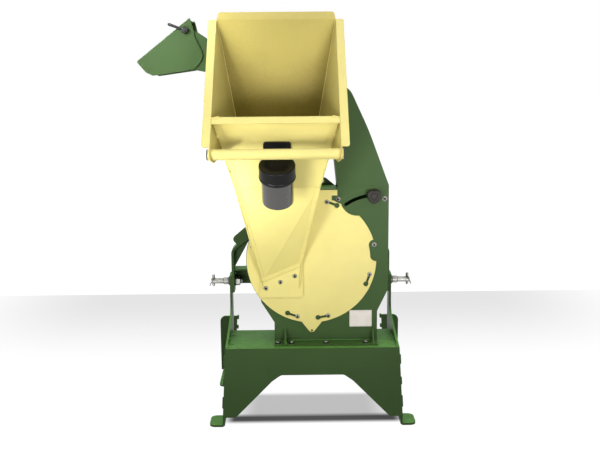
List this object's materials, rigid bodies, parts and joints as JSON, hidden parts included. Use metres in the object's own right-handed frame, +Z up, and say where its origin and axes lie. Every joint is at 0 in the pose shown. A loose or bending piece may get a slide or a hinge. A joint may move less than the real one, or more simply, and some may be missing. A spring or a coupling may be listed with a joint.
{
  "type": "tractor-mounted chipper",
  "caption": "Disc wood chipper for a three-point hitch, driven by the power take-off, with a tilted feed hopper on a turning cover, a curved discharge spout and a tilting deflector.",
  "frame": {"origin": "on the floor, midway between the side plates, just in front of the lower hitch pins' line", "axes": "+Z up; +Y towards the tractor, along the drive shaft; +X to the right of a person who stands at the feed side and faces the tractor"},
  "size_m": [1.001, 0.9553, 1.4842],
  "materials": {
    "green_paint": "semi-gloss enamel",
    "cream_paint": "semi-gloss enamel",
    "zinc_plate": "zinc plated",
    "bare_steel": "ground",
    "black_plastic": "satin",
    "knob_plastic": "satin",
    "blank_plate": "satin"
  },
  "bodies": {
    "frame": {"base_top_plate": "green_paint", "base_front_apron": "green_paint", "base_side_left": "green_paint", "base_side_right": "green_paint", "base_rear_beam": "green_paint", "mast_left": "green_paint", "mast_right": "green_paint", "mast_bridge": "green_paint", "hitch_crossbeam": "green_paint", "lower_link_pin_left": "zinc_plate", "lower_link_pin_right": "zinc_plate", "lower_link_nuts": "zinc_plate", "housing_front_sheet": "green_paint", "housing_rear_sheet": "green_paint", "housing_rim": "green_paint", "scroll_floor": "green_paint", "housing_foot_flange": "green_paint", "housing_bolts": "zinc_plate", "rating_plate": "blank_plate", "spout_front_sheet": "green_paint", "spout_rear_sheet": "green_paint", "spout_outer_strip": "green_paint", "spout_inner_strip": "green_paint", "deflector_pivots": "zinc_plate", "bearing_carrier": "green_paint", "bearings": "bare_steel", "carrier_pedestal": "green_paint", "pto_guard": "black_plastic", "cover_bolts": "zinc_plate"},
    "rotor": {"rotor_disc": "bare_steel", "rotor_shaft": "bare_steel", "chipper_knives": "bare_steel", "rotor_bolts": "bare_steel", "fan_paddles": "bare_steel"},
    "cover": {"cover_plate": "cream_paint", "anvil": "bare_steel", "throat_flange": "cream_paint", "throat_bolts": "zinc_plate", "funnel_front": "cream_paint", "funnel_facet": "cream_paint", "funnel_left": "cream_paint", "funnel_right": "cream_paint", "hopper_front": "cream_paint", "hopper_rear": "cream_paint", "hopper_left": "cream_paint", "hopper_right": "cream_paint", "handle_tube": "cream_paint", "handle_plugs": "black_plastic", "document_tube": "black_plastic", "document_tube_bracket": "black_plastic"},
    "document_cap": {"document_tube_cap": "black_plastic"},
    "damper": {"damper_flap": "green_paint"},
    "damper_knob": {"damper_knob": "knob_plastic"},
    "deflector": {"deflector_cheeks": "green_paint", "deflector_hood": "green_paint"},
    "clamp_lever": {"clamp_lever": "black_plastic"},
    "linchpin_left": {"linchpin_left": "zinc_plate"},
    "linchpin_right": {"linchpin_right": "zinc_plate"},
    "ring_left": {"linchpin_ring_left": "zinc_plate"},
    "ring_right": {"linchpin_ring_right": "zinc_plate"}
  },
  "joints": [
    {"name": "rotor_spin", "type": "hinge", "parent": "frame", "child": "rotor", "pos_m": [0, 0, 0.612], "axis": [0, 1, 0], "continuous": true},
    {"name": "cover_turn", "type": "hinge", "parent": "frame", "child": "cover", "pos_m": [0, -0.24, 0.612], "axis": [0, -1, 0], "range_deg": [0, 10]},
    {"name": "document_cap_pull", "type": "slide", "parent": "cover", "child": "document_cap", "axis": [0, -0.4876, 0.8731], "range_m": [0, 0.045]},
    {"name": "damper_swing", "type": "hinge", "parent": "frame", "child": "damper", "pos_m": [0.228, -0.175, 0.665], "axis": [0, -1, 0], "range_deg": [0, 34]},
    {"name": "damper_knob_turn", "type": "hinge", "parent": "damper", "child": "damper_knob", "pos_m": [0.22486, -0.25, 0.84497], "axis": [0, -1, 0], "continuous": true},
    {"name": "deflector_tilt", "type": "hinge", "parent": "frame", "child": "deflector", "pos_m": [-0.431, -0.175, 1.427], "axis": [0, 1, 0], "range_deg": [-15, 40]},
    {"name": "clamp_lever_turn", "type": "hinge", "parent": "frame", "child": "clamp_lever", "pos_m": [-0.431, -0.25, 1.427], "axis": [0, -1, 0], "range_deg": [0, 60]},
    {"name": "linchpin_left_pull", "type": "slide", "parent": "frame", "child": "linchpin_left", "axis": [0, 0, 1], "range_m": [0, 0.06]},
    {"name": "linchpin_right_pull", "type": "slide", "parent": "frame", "child": "linchpin_right", "axis": [0, 0, 1], "range_m": [0, 0.06]},
    {"name": "ring_left_flip", "type": "hinge", "parent": "linchpin_left", "child": "ring_left", "pos_m": [-0.382, -0.009, 0.499], "axis": [0, 1, 0], "range_deg": [0, 100]},
    {"name": "ring_right_flip", "type": "hinge", "parent": "linchpin_right", "child": "ring_right", "pos_m": [0.382, -0.009, 0.499], "axis": [0, -1, 0], "range_deg": [0, 100]}
  ]
}
